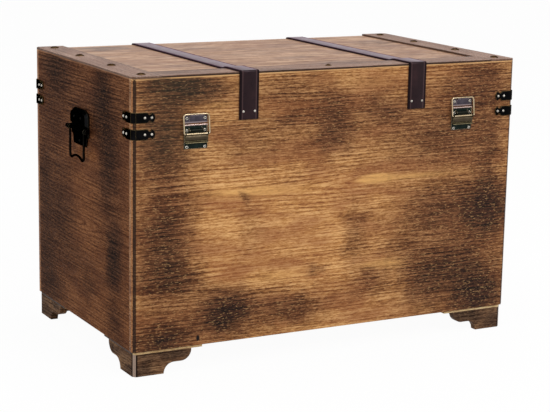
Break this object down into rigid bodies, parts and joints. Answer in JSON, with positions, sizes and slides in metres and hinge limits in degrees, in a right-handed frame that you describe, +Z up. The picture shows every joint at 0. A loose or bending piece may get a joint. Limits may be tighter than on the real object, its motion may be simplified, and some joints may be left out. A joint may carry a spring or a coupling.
{
  "type": "blanket chest",
  "caption": "Boarded storage chest on ogee bracket feet with a hinged lid, leather straps, loop latches and drop handles.",
  "frame": {"origin": "on the floor under the middle of the outline", "axes": "+Z up, +X to the right along the front, -Y out of the front with the latches, +Y towards the hinges"},
  "size_m": [0.6928, 0.4152, 0.4526],
  "materials": {
    "stained_front_wood": "stained and scorched softwood, satin",
    "dark_side_wood": "darker stained softwood, satin",
    "washed_top_wood": "pale washed softwood, satin",
    "pale_cap_wood": "bare planed edge, matt",
    "foot_wood": "scorched softwood, satin",
    "leather": "dark brown strap leather, semi-gloss",
    "bracket_metal": "dark bronzed steel, satin",
    "loop_brass": "pale brassed wire, polished",
    "keeper_metal": "plated pressed steel, satin",
    "latch_base_metal": "dark bronzed pressed steel, satin",
    "lever_brass": "aged brassed steel, satin",
    "handle_iron": "blackened cast iron, semi-gloss",
    "hinge_iron": "dark bronzed steel, satin"
  },
  "bodies": {
    "chest": {"back_panel": "stained_front_wood", "bottom_panel": "dark_side_wood", "front_left_foot_cap": "pale_cap_wood", "front_left_foot_end_board": "foot_wood", "front_left_foot_side_board": "foot_wood", "front_left_lower_bracket": "bracket_metal", "front_panel": "stained_front_wood", "front_right_foot_cap": "pale_cap_wood", "front_right_foot_end_board": "foot_wood", "front_right_foot_side_board": "foot_wood", "front_right_lower_bracket": "bracket_metal", "left_handle_plate": "handle_iron", "left_hinge_lower_leaf": "hinge_iron", "left_latch_base": "latch_base_metal", "left_panel": "dark_side_wood", "rear_left_foot_cap": "pale_cap_wood", "rear_left_foot_end_board": "foot_wood", "rear_left_foot_side_board": "foot_wood", "rear_left_lower_bracket": "bracket_metal", "rear_right_foot_cap": "pale_cap_wood", "rear_right_foot_end_board": "foot_wood", "rear_right_foot_side_board": "foot_wood", "rear_right_lower_bracket": "bracket_metal", "right_handle_plate": "handle_iron", "right_hinge_lower_leaf": "hinge_iron", "right_latch_base": "latch_base_metal", "right_panel": "dark_side_wood"},
    "lid": {"front_left_upper_bracket": "bracket_metal", "front_right_upper_bracket": "bracket_metal", "front_rim_strip": "washed_top_wood", "left_hinge_upper_leaf": "hinge_iron", "left_latch_keeper": "keeper_metal", "left_rim_strip": "washed_top_wood", "left_strap": "leather", "lid_back_rail": "stained_front_wood", "lid_front_rail": "stained_front_wood", "lid_left_rail": "dark_side_wood", "lid_right_rail": "dark_side_wood", "lid_top_board": "washed_top_wood", "rear_left_upper_bracket": "bracket_metal", "rear_right_upper_bracket": "bracket_metal", "right_hinge_upper_leaf": "hinge_iron", "right_latch_keeper": "keeper_metal", "right_rim_strip": "washed_top_wood", "right_strap": "leather"},
    "left_lever": {"left_latch_lever": "lever_brass"},
    "right_lever": {"right_latch_lever": "lever_brass"},
    "left_loop": {"left_latch_loop": "loop_brass"},
    "right_loop": {"right_latch_loop": "loop_brass"},
    "left_bail": {"left_handle_bail": "handle_iron"},
    "right_bail": {"right_handle_bail": "handle_iron"}
  },
  "joints": [
    {"name": "lid_hinge", "type": "hinge", "parent": "chest", "child": "lid", "pos_m": [0, 0.2044, 0.37795], "axis": [-1, 0, 0], "range_deg": [0, 100]},
    {"name": "left_lever_pin", "type": "hinge", "parent": "chest", "child": "left_lever", "pos_m": [-0.235, -0.2024, 0.368], "axis": [-1, 0, 0], "range_deg": [0, 110]},
    {"name": "left_loop_bar", "type": "hinge", "parent": "left_lever", "child": "left_loop", "pos_m": [-0.235, -0.205, 0.363], "axis": [1, 0, 0], "range_deg": [0, 127]},
    {"name": "left_bail_rod", "type": "hinge", "parent": "chest", "child": "left_bail", "pos_m": [-0.3424, 0.001, 0.3453], "axis": [0, 1, 0], "range_deg": [-4, 165]},
    {"name": "right_lever_pin", "type": "hinge", "parent": "chest", "child": "right_lever", "pos_m": [0.235, -0.2024, 0.368], "axis": [-1, 0, 0], "range_deg": [0, 110]},
    {"name": "right_loop_bar", "type": "hinge", "parent": "right_lever", "child": "right_loop", "pos_m": [0.235, -0.205, 0.363], "axis": [1, 0, 0], "range_deg": [0, 127]},
    {"name": "right_bail_rod", "type": "hinge", "parent": "chest", "child": "right_bail", "pos_m": [0.3424, 0.001, 0.3453], "axis": [0, -1, 0], "range_deg": [-4, 165]}
  ],
  "couplings": [
    {"joint": "left_loop_bar", "follows": "left_lever_pin", "ratio": 1.15},
    {"joint": "right_loop_bar", "follows": "right_lever_pin", "ratio": 1.15}
  ]
}
